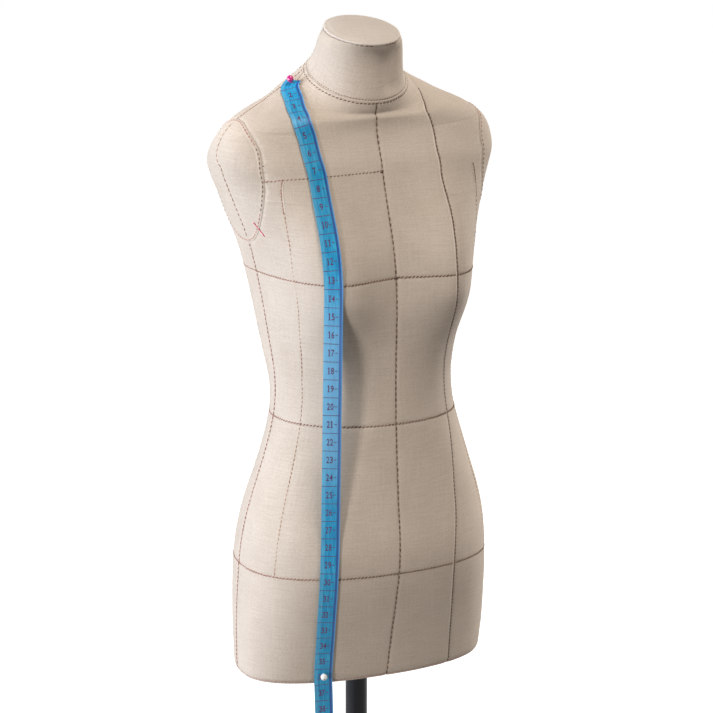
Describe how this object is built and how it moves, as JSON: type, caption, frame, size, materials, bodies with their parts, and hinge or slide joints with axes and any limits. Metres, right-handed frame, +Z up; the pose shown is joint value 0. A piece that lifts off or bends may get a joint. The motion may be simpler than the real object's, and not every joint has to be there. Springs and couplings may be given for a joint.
{
  "type": "dress form",
  "caption": "Half-scale female dress form, a cloth-covered pinnable foam torso with a neck stub that swivels on a height-adjustable pole and round base plate.",
  "frame": {"origin": "on the surface it stands on, at the pole's axis, the middle of the round base", "axes": "+Z up along the pole; the form faces -Y and its own left side is +X"},
  "size_m": [0.24, 0.24, 0.7224],
  "materials": {
    "cloth": "matte",
    "cap_cloth": "matte",
    "foam": "matte",
    "plywood": "matte",
    "black_paint": "satin",
    "steel": "satin",
    "nylon": "satin",
    "rubber": "matte",
    "tape": "satin",
    "pink_bead": "gloss",
    "white_bead": "gloss"
  },
  "bodies": {
    "stand": {"base_pad": "rubber", "base_plate": "black_paint", "base_hub": "black_paint", "hub_screw_1": "steel", "hub_screw_2": "steel", "hub_screw_3": "steel", "hub_screw_4": "steel", "lower_tube": "black_paint", "tube_bush": "nylon", "clamp_collar": "black_paint"},
    "knob": {"clamp_knob": "nylon", "clamp_screw": "steel"},
    "pole": {"upper_pole": "black_paint", "pole_bottom_plug": "nylon", "pole_thrust_plug": "nylon"},
    "torso": {"cover_front_left": "cloth", "cover_front_right": "cloth", "cover_side_front_left": "cloth", "cover_side_front_right": "cloth", "cover_side_back_left": "cloth", "cover_side_back_right": "cloth", "cover_back_left": "cloth", "cover_back_right": "cloth", "arm_plate_left": "cloth", "arm_plate_right": "cloth", "neck_cover": "cloth", "bottom_cover": "cloth", "neck_cap": "cap_cloth", "foam_core": "foam", "neck_board": "plywood", "bottom_board": "plywood", "socket_tube": "steel", "socket_cap": "steel", "socket_flange": "black_paint", "flange_screw_1": "steel", "flange_screw_2": "steel", "flange_screw_3": "steel", "flange_screw_4": "steel", "tape_measure": "tape", "shoulder_pin_head": "pink_bead", "shoulder_pin_shaft": "steel", "hem_pin_head": "white_bead", "hem_pin_shaft": "steel"}
  },
  "joints": [
    {"name": "height_slide", "type": "slide", "parent": "stand", "child": "pole", "axis": [0, 0, 1], "range_m": [-0.075, 0.08]},
    {"name": "torso_swivel", "type": "hinge", "parent": "pole", "child": "torso", "pos_m": [0, 0, 0.35], "axis": [0, 0, 1], "continuous": true},
    {"name": "clamp_knob_turn", "type": "hinge", "parent": "stand", "child": "knob", "pos_m": [0.0285, 0, 0.258], "axis": [1, 0, 0], "range_deg": [0, 720]}
  ]
}
